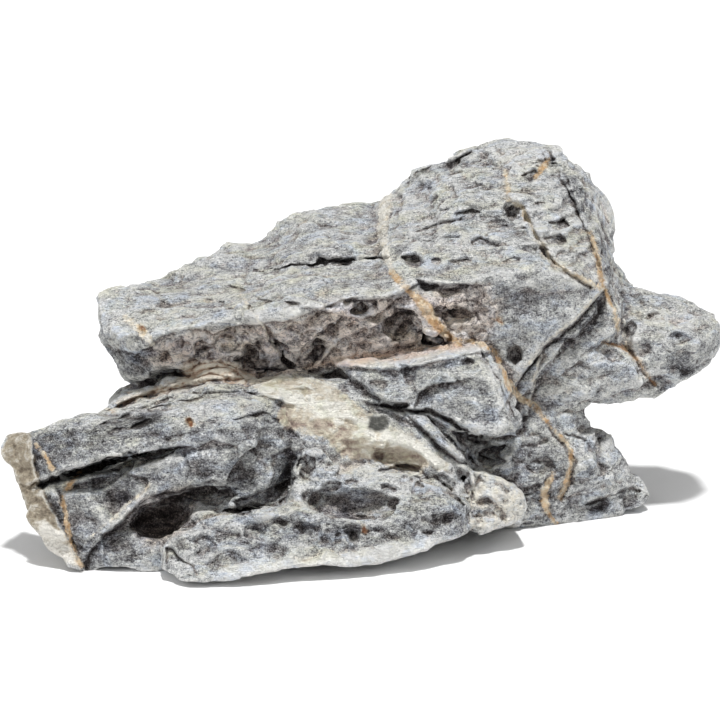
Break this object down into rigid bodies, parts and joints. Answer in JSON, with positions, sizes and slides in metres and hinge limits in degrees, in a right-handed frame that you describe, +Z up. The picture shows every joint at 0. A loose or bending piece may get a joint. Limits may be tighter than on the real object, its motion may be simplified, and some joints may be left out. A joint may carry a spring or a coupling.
{
  "type": "seiryu stone",
  "caption": "Weathered blue-grey limestone rock with folded slabs, hollows, caves and pale veins, lying on its flat base.",
  "frame": {"origin": "middle of the bounding box, at the level the stone lies on", "axes": "+X along the length, from the broken tan end to the tip of the arm; -Y the face with the caves and the calcite patch; +Z up as it lies"},
  "size_m": [0.2904, 0.1677, 0.1464],
  "materials": {
    "limestone": "rough, weathered, with cream and rust veins"
  },
  "bodies": {
    "root": {"stone": "limestone"}
  },
  "joints": []
}
